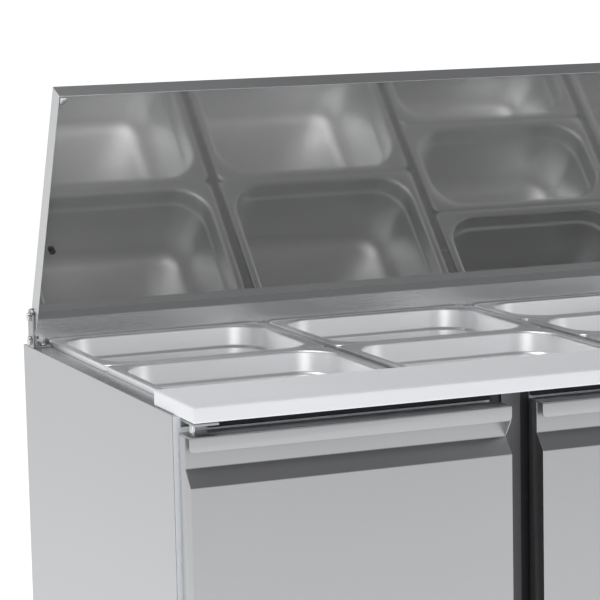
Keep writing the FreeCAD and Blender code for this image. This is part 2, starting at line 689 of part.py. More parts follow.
flap_skin_z = -3 + ZERO
flap_rear = -(knuckle_radius + 0.8) + ZERO
flap_span = size.flap_length + flap_rear
skirt_start = size.flap_hinge_back + 4
flap_sheets = [
    box("flap_top", (-flap_end, -size.flap_length, flap_skin_z), (flap_end * 2, flap_span, size.sheet)),
    box("flap_front", (-flap_end, -size.flap_length, flap_skin_z - size.flap_skirt),
        (flap_end * 2, size.sheet, size.flap_skirt + size.sheet)),
]
flap_sheets += [box("flap_side", (on_side(side, flap_end - size.sheet, size.sheet), -size.flap_length,
                                  flap_skin_z - size.flap_skirt),
                    (size.sheet, size.flap_length - skirt_start, size.flap_skirt + size.sheet))
                for side in (-1, 1)]
node("flap_skin", folded("flap_skin_part", [fuse("flap_sheets", flap_sheets)]))
moving_leaf = [box("flap_leaf", (-flap_end, flap_rear - 14, flap_skin_z + size.sheet),
                   (flap_end * 2, 14, leaf_thick))]
for start, length in flap_knuckles:
    tube = rod("flap_knuckle", (start, 0, 0), length, knuckle_radius, "x")
    tab = box("flap_tab", (start, flap_rear, flap_skin_z + size.sheet), (length, -flap_rear, leaf_thick))
    moving_leaf += [tube, tab]
flap_bore = rod("flap_bore", (-end, 0, 0), size.total_width, 1.5 + size.pin_play, "x")
node("flap_hinge_moving", folded("flap_hinge_moving_part",
                                 [cut("moving_leaf", fuse("moving_leaf_blank", moving_leaf), [flap_bore])]))

# ---- Legs and adjustable feet ----
leg_radius, leg_inset, leg_from_face, leg_foot = 19, 60, 55, 26
stem_radius, stem_foot, stem_top, pad_radius, pad_thick = 6, 8, 22, 24, 9
legs, pads = [], []
for side in (-1, 1):
    for leg_y in (front + leg_from_face, back - leg_from_face):
        leg_x = (end - leg_inset) * side
        tube = rod("leg_tube", (leg_x, leg_y, leg_foot), size.foot_height - leg_foot, leg_radius)
        stem_length = size.foot_height - stem_foot - stem_top
        stem = rod("pad_stem", (leg_x, leg_y, stem_foot), stem_length, stem_radius)
        pad = rod("pad_disc", (leg_x, leg_y, 0), pad_thick, pad_radius)
        pads.append(fuse("foot_pad", [pad, stem]))
        legs.append(cut("leg", tube, [stem]))
node("legs", group("legs_part", legs))
node("foot_pads", group("foot_pads_part", pads))

# ---- Machine bay: base tray, louvred front, controls, compressor, condenser and its fan ----
tray = box("tray_block", (-end + size.sheet, front + 2, size.foot_height),
           (panel_width, casing_depth - 2 - size.sheet, 20))
tray_room = box("tray_room", (-end + size.sheet * 2, front + 2 + size.sheet, size.foot_height + 2),
                (panel_width - size.sheet * 2, casing_depth - 2 - size.sheet * 3, 30))
node("base_tray", cut("base_tray_part", tray, [tray_room]))

louvre_rows, louvre_columns, louvre_width, louvre_height, louvre_pitch = 6, 3, 300, 7, 19
louvre_start, louvre_low, bank_pitch = 70, 28, 350
control_w, control_h = 150, 46
control_x, control_z = end - 60 - control_w, size.foot_height + 57
grille_sheet = box("grille_sheet", (-end + size.sheet, front, size.foot_height + 1),
                   (panel_width, size.sheet, size.bay_height - 2))
slots = [box("control_cut", (control_x, front - 1, control_z), (control_w, size.sheet + 2, control_h))]
for column in range(louvre_columns):
    for row in range(louvre_rows):
        slots.append(box("louvre", (-end + louvre_start + column * bank_pitch, front - 1,
                                    size.foot_height + louvre_low + row * louvre_pitch),
                         (louvre_width, size.sheet + 2, louvre_height)))
node("front_grille", cut("front_grille_part", grille_sheet, slots))

key_w, key_h, key_deep, key_proud, switch_w, switch_h = 16, 12, 6, 1.2, 24, 30
key_low, key_first, key_pitch, pocket_deep, bezel_wide, bezel_thick = 17, 82, 20, 23, 5, 3
control_y = front - bezel_thick
bezel_lip = box("bezel_lip", (control_x - bezel_wide, control_y, control_z - bezel_wide),
                (control_w + bezel_wide * 2, bezel_thick, control_h + bezel_wide * 2))
bezel_body = box("bezel_body", (control_x, front, control_z), (control_w, 45, control_h))
key_x = [control_x + key_first + step * key_pitch for step in range(2)]
switch_x, switch_z = control_x + control_w - 28, control_z + control_h / 2
pockets = [box("key_pocket", (x, control_y - 1, control_z + key_low), (key_w, key_deep + 3, key_h))
           for x in key_x]
pockets.append(box("switch_pocket", (switch_x, control_y - 1, switch_z - switch_h / 2),
                   (switch_w, pocket_deep, switch_h)))
rocker_half, rocker_deep, rocker_tilt, rocker_dip, rocker_pin = switch_h / 2 - 1.5, 6, 8, 1.7, 2
rocker_place = (switch_x, control_y + rocker_deep, switch_z)
housing_shell = cut("control_shell", fuse("control_blank", [bezel_lip, bezel_body]), pockets)
switch_pin = rod("switch_pin", rocker_place, switch_w, rocker_pin, "x")
node("control_housing", fuse("control_housing_part", [housing_shell, switch_pin]))
for label, x in zip(("key_up", "key_down"), key_x):
    node(label, group(f"{label}_part", [
        box(f"{label}_cap", (x + size.fit_gap, control_y - key_proud, control_z + key_low + size.fit_gap),
            (key_w - size.fit_gap * 2, key_deep, key_h - size.fit_gap * 2))]))
rocker = profile_body("rocker_body", (
    (rocker_deep + ZERO, -rocker_half + ZERO), (-rocker_deep + ZERO, -rocker_half + ZERO),
    (-rocker_deep + rocker_dip + ZERO, ZERO), (-rocker_deep + ZERO, rocker_half + ZERO),
    (rocker_deep + ZERO, rocker_half + ZERO)), switch_x + size.fit_gap, switch_w - size.fit_gap * 2)
put(rocker, 0, control_y + rocker_deep, switch_z)
rocker.Placement.Rotation = FreeCAD.Rotation(FreeCAD.Vector(1, 0, 0), rocker_tilt)
rocker_bore = rod("rocker_bore", rocker_place, switch_w, rocker_pin + size.pin_play, "x")
node("power_switch", cut("power_switch_part", rocker, [rocker_bore]))

bay_floor = size.foot_height + 2
shell_radius = 64
compressor = doc.addObject("PartDesign::Body", "compressor")
shell_half = sketch_on(compressor, "XZ_Plane", ZERO, "compressor_outline")
draw_outline(shell_half, ((ZERO, ZERO), (70 + ZERO, ZERO),
                          (70 + ZERO, 8 + ZERO), (shell_radius + ZERO, 14 + ZERO),
                          (shell_radius + ZERO, size.bay_height - 50), (48 + ZERO, size.bay_height - 32),
                          (ZERO, size.bay_height - 26)))
dome = compressor.newObject("PartDesign::Revolution", "compressor_turn")
dome.Profile = shell_half
dome.ReferenceAxis = (shell_half, ["V_Axis"])
dome.Angle = 360
compressor.Tip = dome
compressor_x, compressor_y = 430, 120
put(compressor, compressor_x, compressor_y, bay_floor)
node("compressor", compressor)

condenser_x, condenser_w, condenser_h, condenser_d = 60, 300, 130, 44
condenser_y = front + 30
fins = [box("condenser_end", (condenser_x + far * (condenser_w - 2), condenser_y, bay_floor),
            (2, condenser_d, condenser_h)) for far in (0, 1)]
fins += [box("condenser_fin", (condenser_x + 6 + step * 9, condenser_y + 2, bay_floor + 4),
             (1.2, condenser_d - 4, condenser_h - 8)) for step in range(33)]
tubes = [rod("condenser_tube", (condenser_x, condenser_y + 12 + 20 * (row % 2), bay_floor + 18 + row * 19),
             condenser_w, 5, "x") for row in range(6)]
node("condenser", fuse("condenser_part", fins + tubes))

hub_radius, hub_depth, blade_count = Size("17"), Size("16"), 5
blade_root, blade_half, blade_lean, blade_sheet = 10, 11, 2, 1.6
fan_x, fan_z = condenser_x + condenser_w / 2, bay_floor + condenser_h / 2
shroud_y = condenser_y + condenser_d
shroud_plate = box("shroud_plate", (condenser_x, shroud_y, bay_floor), (condenser_w, 12, condenser_h))
shroud_hole = rod("shroud_hole", (fan_x, shroud_y - 1, fan_z), 14, size.fan_blade + 4, "y")
motor_y = shroud_y + 34
motor = rod("motor_can", (fan_x, motor_y, fan_z), 34, 24, "y")
stand = box("motor_stand", (fan_x - 15, motor_y + 6, bay_floor), (30, 20, condenser_h / 2 - 20))
node("fan_shroud", cut("fan_shroud_part", shroud_plate, [shroud_hole]))
condenser_motor = fuse("condenser_motor", [motor, stand])


def fan(label, x, y, z):
    """A rotor about Y: a round hub that carries a ring of slanted blades."""
    rotor = doc.addObject("PartDesign::Body", label)
    hub = sketch_on(rotor, "XZ_Plane", -hub_depth, f"{label}_hub_outline")
    draw_circle(hub, ZERO, ZERO, hub_radius)
    add_feature(rotor, "Pad", f"{label}_hub", hub, hub_depth)
    blade = sketch_on(rotor, "YZ_Plane", blade_root, f"{label}_blade_outline")
    draw_outline(blade, ((blade_lean, -blade_half), (blade_lean + blade_sheet, -blade_half),
                         (hub_depth - blade_lean, blade_half),
                         (hub_depth - blade_lean - blade_sheet, blade_half)))
    first = add_feature(rotor, "Pad", f"{label}_blade", blade, size.fan_blade - blade_root)
    ring = rotor.newObject("PartDesign::PolarPattern", f"{label}_blades")
    ring.Originals = [first]
    ring.Axis = (next(item for item in rotor.Origin.OriginFeatures if item.Role == "Y_Axis"), [""])
    ring.Occurrences = blade_count
    rotor.Tip = ring
    put(rotor, x, y, z)
    return node(label, rotor)


fan("condenser_fan", fan_x, shroud_y + 14, fan_z)

# ---- Cooler inside the compartment: finned coil, housing and fan at the back wall ----
cooler_w, cooler_d, cooler_h = 380, 74, 190
cooler_z = floor_top + 190
cooler_y = inner_back - size.liner_sheet - cooler_d
coil_fins = [box("cooler_fin", (-cooler_w / 2 + 20 + step * 12, cooler_y + 40, cooler_z + 20),
                 (1.2, 28, cooler_h - 40)) for step in range(29)]
coil_tubes = [rod("cooler_tube", (-cooler_w / 2 + 10, cooler_y + 54, cooler_z + 36 + row * 30),
                  cooler_w - 20, 5, "x") for row in range(5)]
node("cooler_coil", fuse("cooler_coil_part", coil_fins + coil_tubes))
housing = box("cooler_block", (-cooler_w / 2, cooler_y, cooler_z), (cooler_w, cooler_d, cooler_h))
housing_room = box("cooler_room", (-cooler_w / 2 + 2, cooler_y + 2, cooler_z - 1),
                   (cooler_w - 4, cooler_d, cooler_h - 1))
housing_hole = rod("cooler_hole", (0, cooler_y - 1, cooler_z + cooler_h / 2), 4, size.fan_blade + 3, "y")
node("cooler_housing", cut("cooler_housing_part", housing, [housing_room, housing_hole]))
fan("cooler_fan", 0, cooler_y + 6, cooler_z + cooler_h / 2)
cooler_motor = rod("cooler_motor", (0, cooler_y + 22.5, cooler_z + cooler_h / 2), 16, 20, "y")
node("fan_motors", group("fan_motors_part", [condenser_motor, cooler_motor]))

# ---- Wire shelves, each one on the clips of four posts ----
shelf_z = floor_top + 150
post_size, post_gap, clip_height, wire, thin_wire, thin_wires = 12, 2, 10, 4, 2, 12
bay_width = (inner_end - size.liner_sheet) * 2 / 3
bay_lefts = [-inner_end + size.liner_sheet + bay_width * index for index in range(3)]
shelf_width = bay_width - (post_size + post_gap) * 2 - 4
shelf_front, shelf_end = frame_back + 6, cooler_y - 16
shelf_depth = shelf_end - shelf_front
posts, shelves = [], []
for bay_left in bay_lefts:
    shelf_left = bay_left + post_gap + post_size + 2
    for post_x, clip_x in ((bay_left + post_gap, bay_left + post_gap),
                           (bay_left + bay_width - post_gap - post_size,
                            bay_left + bay_width - post_gap - post_size * 2)):
        for post_y in (shelf_front, shelf_end - post_size):
            post = box("shelf_post", (post_x, post_y, floor_top + size.liner_sheet),
                       (post_size, post_size, 330))
            clip = box("shelf_clip", (clip_x, post_y, shelf_z - wire - clip_height),
                       (post_size * 2, post_size, clip_height))
            posts.append(fuse("clip_post", [post, clip]))
    wires = [rod("shelf_side", (shelf_left + wire + far * (shelf_width - wire * 2), shelf_front, shelf_z),
                 shelf_depth, wire, "y") for far in (0, 1)]
    wires += [rod("shelf_edge", (shelf_left + wire, edge_y, shelf_z), shelf_width - wire * 2, wire, "x")
              for edge_y in (shelf_front + wire, shelf_end - wire)]
    wires += [rod("shelf_wire", (shelf_left + wire + (shelf_width - wire * 2) * step / (thin_wires + 1),
                                 shelf_front + wire, shelf_z + thin_wire),
                  shelf_depth - wire * 2, thin_wire, "y") for step in range(1, thin_wires + 1)]
    shelves.append(fuse("wire_shelf", wires))
node("shelf_posts", group("shelf_posts_part", posts))
node("wire_shelves", group("wire_shelves_part", shelves))

# ---- Mains inlet in the back panel ----
socket = box("inlet_block", (inlet_x, back - inlet_d, inlet_z), (inlet_w, inlet_d, inlet_h))
socket_room = box("inlet_room", (inlet_x + 8, back - 18, inlet_z + 5), (inlet_w - 16, 20, inlet_h - 10))
node("mains_inlet", cut("mains_inlet_part", socket, [socket_room]))


# ---- Refrigerant pipes: straight runs joined by round corners ----
def pipe(name, places, radius):
    pieces = []
    for here, there in zip(places, places[1:]):
        axis = next(letter for letter, a, b in zip("xyz", here, there) if str(a) != str(b))
        spot = "xyz".index(axis)
        low, high = sorted((here, there), key=lambda place: number(place[spot]))
        pieces.append(rod(f"{name}_run", low, high[spot] - low[spot], radius, axis))
    for x, y, z in places[1:-1]:
        corner = doc.addObject("Part::Sphere", f"{name}_corner")
        bind(corner, Radius=radius)
        put(corner, x, y, z)
        pieces.append(corner)
    return fuse(name, pieces)


discharge_z, discharge_y, discharge_bend = bay_floor + 80, condenser_y + 12, shroud_y + 90
suction_x, suction_y, suction_z = ZERO + 150, cooler_y + 54, bay_floor + 70
discharge = pipe("discharge_pipe", (
    (ZERO + compressor_x, ZERO + compressor_y - shell_radius, discharge_z),
    (ZERO + compressor_x, discharge_bend, discharge_z),
    (ZERO + compressor_x, discharge_y, discharge_z),
    (ZERO + condenser_x + condenser_w, discharge_y, discharge_z)), 4)
suction = pipe("suction_pipe", (
    (ZERO + compressor_x - shell_radius, ZERO + compressor_y, suction_z),
    (suction_x, ZERO + compressor_y, suction_z),
    (suction_x, suction_y, suction_z),
    (suction_x, suction_y, bay_top)), 5)
node("refrigerant_pipes", group("refrigerant_pipes_part", [discharge, suction]))

doc.recompute()

# ---- Check and write ----
faulty = [item.Name for item in doc.Objects if {"Invalid", "Error"} & set(item.State)]
if faulty:
    raise RuntimeError(f"not rebuilt: {faulty}")
os.makedirs("parts", exist_ok=True)
for item in nodes:
    if item.Shape.isNull() or not item.Shape.isValid() or not item.Shape.Solids:
        raise RuntimeError(f"bad shape: {item.Label}")
    item.Shape.exportStep(f"parts/{item.Label}.step")
print(len(nodes), "nodes written")
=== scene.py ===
import json
import math
import bmesh
import bpy
from mathutils import Matrix, Vector


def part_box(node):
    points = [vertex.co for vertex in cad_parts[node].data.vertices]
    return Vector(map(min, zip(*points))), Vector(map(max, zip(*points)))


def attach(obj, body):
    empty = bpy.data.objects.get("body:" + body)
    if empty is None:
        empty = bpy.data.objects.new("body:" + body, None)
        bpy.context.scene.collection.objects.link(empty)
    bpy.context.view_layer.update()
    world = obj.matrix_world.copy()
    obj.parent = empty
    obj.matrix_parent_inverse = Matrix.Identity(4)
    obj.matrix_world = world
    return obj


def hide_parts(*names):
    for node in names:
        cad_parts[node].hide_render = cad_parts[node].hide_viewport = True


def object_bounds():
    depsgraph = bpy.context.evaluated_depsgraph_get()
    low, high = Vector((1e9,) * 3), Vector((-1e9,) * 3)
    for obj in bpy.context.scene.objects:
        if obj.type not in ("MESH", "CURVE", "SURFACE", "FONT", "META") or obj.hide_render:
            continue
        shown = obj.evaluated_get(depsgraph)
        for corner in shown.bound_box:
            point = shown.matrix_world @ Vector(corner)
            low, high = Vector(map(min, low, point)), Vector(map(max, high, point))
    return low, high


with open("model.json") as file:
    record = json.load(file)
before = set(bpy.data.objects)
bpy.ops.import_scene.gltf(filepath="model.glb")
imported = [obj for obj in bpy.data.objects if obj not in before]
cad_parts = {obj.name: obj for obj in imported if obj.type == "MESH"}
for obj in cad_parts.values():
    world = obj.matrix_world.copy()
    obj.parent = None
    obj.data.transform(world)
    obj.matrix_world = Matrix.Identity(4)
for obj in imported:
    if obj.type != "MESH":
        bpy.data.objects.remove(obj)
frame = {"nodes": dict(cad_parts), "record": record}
cad_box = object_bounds()

# ---- The studio ----
# A pale floor, a white surround and three large soft lights: one in front on the left, one high
# overhead and a weak one on the right. The camera looks down on the left end of the counter.
MM = 0.001
scene = bpy.context.scene
scene.view_settings.view_transform = "Standard"


class Field:
    """A value or colour that varies over a surface; arithmetic on it adds the maths nodes."""

    def __init__(self, tree, socket):
        self.tree = tree
        self.socket = socket

    def feed(self, socket, value):
        if isinstance(value, Field):
            self.tree.links.new(value.socket, socket)
        else:
            socket.default_value = value

    def node(self, kind, settings=None, inputs=None, output=0):
        """A shader node of the kind, with its settings made first and then its sockets fed."""
        made = self.tree.nodes.new("ShaderNode" + kind)
        for name, value in (settings or {}).items():
            setattr(made, name, value)
        for name, value in (inputs or {}).items():
            self.feed(made.inputs[name], value)
        return Field(self.tree, made.outputs[output])

    def maths(self, operation, first, second):
        return self.node("Math", {"operation": operation}, {0: first, 1: second})

    def __add__(self, other):
        return self.maths("ADD", self, other)

    def __mul__(self, other):
        return self.maths("MULTIPLY", self, other)

    def stretched(self, scale):
        """Coordinates stretched by a scale for each axis."""
        return self.node("Mapping", None, {"Vector": self, "Scale": scale})

    def noise(self, scale, detail=2.0):
        return self.node("TexNoise", None, {"Vector": self, "Scale": scale, "Detail": detail})

    def between(self, low, high):
        """The value, taken as 0 to 1, spread from low to high."""
        return self * (high - low) + low

    def tint(self, dark, light):
        """A colour between two, by this value."""
        return self.node("Mix", {"data_type": "RGBA"}, {0: self, 6: (*dark, 1), 7: (*light, 1)}, 2)


def new_finish(name, metallic):
    """A material with its shader and its Object coordinates."""
    finish = bpy.data.materials.new(name)
    finish.use_nodes = True
    shader = finish.node_tree.nodes["Principled BSDF"]
    shader.inputs["Metallic"].default_value = metallic
    places = finish.node_tree.nodes.new("ShaderNodeTexCoord")
    return finish, shader, Field(finish.node_tree, places.outputs["Object"])


def lay_on(field, shader, color, roughness=None, height=None, depth=0.0):
    """Feeds the shader's colour, and its roughness and bump where they are given."""
    field.feed(shader.inputs["Base Color"], color)
    if roughness is not None:
        field.feed(shader.inputs["Roughness"], roughness)
    if height is not None:
        bump = field.node("Bump", None, {"Height": height, "Distance": depth, "Strength": 1.0})
        field.feed(shader.inputs["Normal"], bump)


world = bpy.data.worlds.new("surround")
world.use_nodes = True
scene.world = world
horizon_edge, zenith_edge = 0.08, 0.62
horizon_white, zenith_grey = (0.80, 0.81, 0.83), (0.215, 0.215, 0.22)
generated = world.node_tree.nodes.new("ShaderNodeTexCoord").outputs["Generated"]
outward = Field(world.node_tree, generated)
upward = outward.node("SeparateXYZ", None, {"Vector": outward}, 2)
climb = upward.node("MapRange", None, {"Value": upward, "From Min": horizon_edge, "From Max": zenith_edge})
climb.feed(world.node_tree.nodes["Background"].inputs["Color"], climb.tint(horizon_white, zenith_grey))


def soft_light(name, place, target, size, power):
    """A square studio lamp at place that faces target."""
    lamp = bpy.data.lights.new(name, "AREA")
    lamp.size = size
    lamp.energy = power
    holder = bpy.data.objects.new(name, lamp)
    scene.collection.objects.link(holder)
    holder.location = place
    holder.rotation_euler = (Vector(target) - Vector(place)).to_track_quat("-Z", "Y").to_euler()


middle = (Vector(cad_box[0]) + Vector(cad_box[1])) / 2
soft_light("front_left_light", (-2.6, -3.6, 1.9), middle, 2.2, 16)
soft_light("overhead_light", (-1.2, 0.5, 3.4), middle, 2.0, 42)
soft_light("right_light", (3.2, -2.4, 2.2), middle, 2.0, 8)

heading, downward, roll = math.radians(22.45), math.radians(8.12), math.radians(-1.22)
aim, distance = Vector((-0.5277, -0.282, 0.9855)), 3.1685
ahead = Vector((math.sin(heading) * math.cos(downward), math.cos(heading) * math.cos(downward),
                -math.sin(downward)))
lens = bpy.data.cameras.new("camera")
lens.lens = 153.7
lens.sensor_width = 36
camera = bpy.data.objects.new("camera", lens)
scene.collection.objects.link(camera)
turn = ahead.to_track_quat("-Z", "Y").to_matrix().to_4x4() @ Matrix.Rotation(roll, 4, "Z")
camera.matrix_world = Matrix.Translation(aim - ahead * distance) @ turn
scene.camera = camera

floor_mesh = bpy.data.meshes.new("floor")
reach = 600
corners = [(-reach, -reach, 0), (reach, -reach, 0), (reach, reach, 0), (-reach, reach, 0)]
floor_mesh.from_pydata(corners, [], [(0, 1, 2, 3)])
floor = bpy.data.objects.new("floor", floor_mesh)
scene.collection.objects.link(floor)
pale, shader, place = new_finish("pale_floor", 0.0)
lay_on(place, shader, place.noise(0.7).tint((0.86, 0.86, 0.86), (0.9, 0.9, 0.9)))
shader.inputs["Roughness"].default_value = 0.6
shader.inputs["Emission Color"].default_value = (1.0, 1.0, 1.0, 1)
shader.inputs["Emission Strength"].default_value = 0.78
floor_mesh.materials.append(pale)

# ---- The casing's end panels, back panel and top deck ----
# Satin stainless sheet, ground with a fine straight grain, folded and hemmed so that its edges are
# slightly round and catch the light.


def ground_steel(name, tone, rough, grain, cloud=0.05, scratch=0.00002):
    """Stainless sheet: fine lines along the axis where grain is small, over broad soft clouds."""
    rough_spread = 0.05
    finish, shader, place = new_finish(name, 1.0)
    lines = place.stretched(grain).noise(1.0, 3.0)
    clouds = place.noise(3.0, 2.0)
    shade = clouds * 0.6 + lines * 0.4
    dark = [value * (1 - cloud) for value in tone]
    light = [min(1.0, value * (1 + cloud)) for value in tone]
    dullness = shade.between(rough - rough_spread, rough + rough_spread)
    lay_on(place, shader, shade.tint(dark, light), dullness, lines, scratch)
    return finish


side_steel = ground_steel("side_steel", (0.44, 0.445, 0.45), 0.34, (900, 12, 900))
deck_steel = ground_steel("deck_steel", (0.62, 0.625, 0.63), 0.27, (14, 900, 900))
back_steel = ground_steel("back_steel", (0.60, 0.605, 0.61), 0.38, (14, 900, 900))
FOLD_ANGLE = 34.38  # degrees: an edge that turns by more than this is rounded
BROAD_FACE = 0.001  # square metres: a face larger than this is shaded flat
bodies = {node: body for body, group in frame["record"]["behaviour"]["bodies"].items() for node in group}


def set_in_place(name, form, finish, node, replace=True):
    """Makes a piece of a bmesh, and lets it ride with the CAD piece that it stands for."""
    mesh = bpy.data.meshes.new(name)
    form.to_mesh(mesh)
    form.free()
    piece = bpy.data.objects.new(name, mesh)
    scene.collection.objects.link(piece)
    mesh.materials.append(finish)
    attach(piece, bodies[node])
    if replace:
        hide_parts(node)
    return piece


def smooth_but_creased(mesh, angle=35):
    """Shades a mesh smooth and keeps the edges that turn by more than the angle sharp."""
    mesh.shade_smooth()
    mesh.set_sharp_from_angle(angle=math.radians(angle))


def ease_edges(form, radius, steps=2, angle=30, chosen=None):
    """Rounds the edges of a form that turn by more than the angle, or the chosen ones of them."""
    edges = [edge for edge in form.edges if edge.is_manifold
             and edge.calc_face_angle(0) > math.radians(angle) and (chosen is None or chosen(edge))]
    bmesh.ops.bevel(form, geom=edges, offset=radius, segments=steps, affect="EDGES", profile=0.5,
                    clamp_overlap=True)


def eased(node, finish, radius, steps=2):
    """The CAD piece once more with its edges rounded, as folding and deburring leave them."""
    form = bmesh.new()
    form.from_mesh(frame["nodes"][node].data)
    bmesh.ops.remove_doubles(form, verts=form.verts, dist=0.00001)
    bmesh.ops.dissolve_limit(form, angle_limit=math.radians(1), verts=form.verts, edges=form.edges)
    ease_edges(form, radius, steps, FOLD_ANGLE)
    piece = set_in_place(f"{node}_sheet", form, finish, node)
    smooth_but_creased(piece.data)
    for face in piece.data.polygons:
        face.use_smooth = face.area < BROAD_FACE


for node in ("side_panel_left", "side_panel_right"):
    eased(node, side_steel, 0.5 * MM, 3)
eased("back_panel", back_steel, 0.3 * MM, 1)
frame_steel = ground_steel("frame_steel", (0.90, 0.93, 0.98), 0.46, (900, 12, 900))
frame_steel.node_tree.nodes["Principled BSDF"].inputs["Metallic"].default_value = 0.35
eased("front_frame", frame_steel, 0.3 * MM, 1)
eased("top_deck", deck_steel, 0.5 * MM, 2)
eased("pan_bars", deck_steel, 1.2 * MM, 3)
eased("rear_upstand", deck_steel, 0.6 * MM, 2)


# ---- The doors ----
# Each is a steel skin folded round a foam core: the face slopes back into a grip recess, and the
# top sheet runs forward over it and hangs down as a lip. A moulded panel and a seal close the back.
door_steel = ground_steel("door_steel", (0.41, 0.413, 0.418), 0.33, (14, 900, 900))
face_to_recess, top_sheet, lip_fall = 17 * MM, 1.5 * MM, 19 * MM
recess_foot, slope_foot = 41.5 * MM, 62.5 * MM
end_plate_far, end_plate_near = 1.6 * MM, 0.4 * MM


def turned_path(corners, radii, steps=4):
    """A closed outline with each corner turned in an arc of its own radius."""
    path = []
    for index, radius in enumerate(radii):
        corner = Vector(corners[index])
        if radius == 0:
            path.append(corner)
            continue
        before = (Vector(corners[index - 1]) - corner).normalized()
        after = (Vector(corners[(index + 1) % len(corners)]) - corner).normalized()
        half = before.angle(after) / 2
        centre = corner + (before + after).normalized() * radius / math.sin(half)
        start = corner + before * radius / math.tan(half) - centre
        end = corner + after * radius / math.tan(half) - centre
        swing = start.angle_signed(end)
        path += [centre + Matrix.Rotation(-swing * step / steps, 2) @ start for step in range(steps + 1)]
    return path


def prism(form, outline, low, high):
    """A solid of an outline in the YZ plane, between two places along X."""
    ends = [[form.verts.new((x, point[0], point[1])) for point in outline] for x in (low, high)]
    count = len(outline)
    faces = [form.faces.new([ends[0][i], ends[0][(i + 1) % count], ends[1][(i + 1) % count], ends[1][i]])
             for i in range(count)]
    faces += [form.faces.new(ends[0]), form.faces.new(ends[1])]
    bmesh.ops.recalc_face_normals(form, faces=faces)
    return faces


def door_skin(name):
    """The folded skin, with the lip and the plate that closes the grip's end as shells of their own."""
    low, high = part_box(f"door_{name}_skin")
    face, recess, rear = low.y, low.y + face_to_recess, high.y - 1 * MM
    cap = high.z - top_sheet
    form = bmesh.new()
    prism(form, turned_path(((rear, low.z), (face, low.z), (face, high.z - slope_foot),
                             (recess, high.z - recess_foot), (recess, cap), (rear, cap)),
                            (0, 2 * MM, 3 * MM, 3 * MM, 0, 0)), low.x, high.x)
    ease_edges(form, 0.9 * MM, 3)
    lip = bmesh.new()
    lip_back, lip_foot = face + top_sheet, high.z - lip_fall
    prism(lip, turned_path(((rear, cap), (rear, high.z), (face, high.z), (face, lip_foot),
                            (lip_back, lip_foot), (lip_back, cap)),
                           (0, 0, 2.2 * MM, 0, 0, 0.7 * MM)), low.x, high.x)

    def lower_corner(edge):
        """Tells whether an edge runs through the sheet at the lip's foot."""
        at_foot = all(vert.co.z < lip_foot + 0.01 * MM for vert in edge.verts)
        return at_foot and abs(edge.verts[0].co.y - edge.verts[1].co.y) > MM

    ease_edges(lip, 6 * MM, 6, 60, lower_corner)
    ease_edges(lip, 0.35 * MM, 2)
    prism(lip, ((lip_back, cap), (lip_back, lip_foot), (recess, high.z - recess_foot), (recess, cap)),
          high.x - end_plate_far, high.x - end_plate_near)
    joined = bpy.data.meshes.new("lip")
    lip.to_mesh(joined)
    lip.free()
    form.from_mesh(joined)
    piece = set_in_place(f"door_{name}_shell", form, door_steel, f"door_{name}_skin")
    smooth_but_creased(piece.data)


moulded_white, shader, place = new_finish("moulded_white", 0.0)
lay_on(place, shader, place.noise(2.0).tint((0.78, 0.79, 0.79), (0.84, 0.85, 0.85)),
       place.noise(60.0).between(0.38, 0.5), place.noise(900.0), 0.00004)
seal_black, shader, place = new_finish("seal_black", 0.0)
lay_on(place, shader, place.noise(40.0).tint((0.012, 0.012, 0.013), (0.028, 0.028, 0.03)),
       place.noise(90.0).between(0.55, 0.75), place.noise(700.0), 0.00005)


def swept_frame(form, low, high, section):
    """A mitred frame round the box's XZ outline; the section's points are (inset, y)."""
    rings = []
    for sx, sz in ((-1, -1), (1, -1), (1, 1), (-1, 1)):
        corner = Vector((low.x if sx < 0 else high.x, 0, low.z if sz < 0 else high.z))
        rings.append([form.verts.new((corner.x - sx * inset, y, corner.z - sz * inset))
                      for inset, y in section])
    count = len(section)
    for here, there in zip(rings, rings[1:] + rings[:1]):
        for i in range(count):
            form.faces.new([here[i], here[(i + 1) % count], there[(i + 1) % count], there[i]])
    bmesh.ops.recalc_face_normals(form, faces=form.faces)


def block(form, centre, extent):
    """A box in a form, by its centre and its lengths along the axes."""
    bmesh.ops.create_cube(form, size=1, matrix=Matrix.Translation(centre) @ Matrix.Diagonal((*extent, 1)))


def door_back_panel(name):
    """The moulded inner panel: a flat sheet with a field pressed into the foam."""
    low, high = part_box(f"door_{name}_core")
    panel_sheet, panel_sunk, border, slope, pressed = 3 * MM, 0.2 * MM, 48 * MM, 6 * MM, 2 * MM
    form = bmesh.new()
    front_face = high.y - panel_sheet
    block(form, ((low.x + high.x) / 2, (front_face + high.y) / 2 - panel_sunk, (low.z + high.z) / 2),
          (high.x - low.x, high.y - front_face, high.z - low.z))
    back = [face for face in form.faces if face.normal.y > 0.9]
    bmesh.ops.inset_region(form, faces=back, thickness=border)
    bmesh.ops.inset_region(form, faces=back, thickness=slope, depth=-pressed)
    ease_edges(form, 0.6 * MM, 2)
    piece = set_in_place(f"door_{name}_inner_panel", form, moulded_white, f"door_{name}_core")
    smooth_but_creased(piece.data, 50)


def door_seal(name):
    """The magnetic seal: a profile with a waist, mitred at the corners."""
    low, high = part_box(f"door_{name}_seal")
    deep, wide = high.y - low.y, 14 * MM
    section = ((0, low.y), (1.2 * MM, low.y + deep * 0.35), (0.4 * MM, low.y + deep * 0.6),
               (1.5 * MM, high.y - 0.8 * MM), (3 * MM, high.y), (wide - 3 * MM, high.y),
               (wide - 1.5 * MM, high.y - 0.8 * MM), (wide - 0.4 * MM, low.y + deep * 0.6),
               (wide - 1.2 * MM, low.y + deep * 0.35), (wide, low.y))
    form = bmesh.new()
    swept_frame(form, low, high, section)
    piece = set_in_place(f"door_{name}_gasket", form, seal_black, f"door_{name}_seal")
    smooth_but_creased(piece.data, 60)


for name in ("left", "middle", "right"):
    door_skin(name)
    door_back_panel(name)
    door_seal(name)

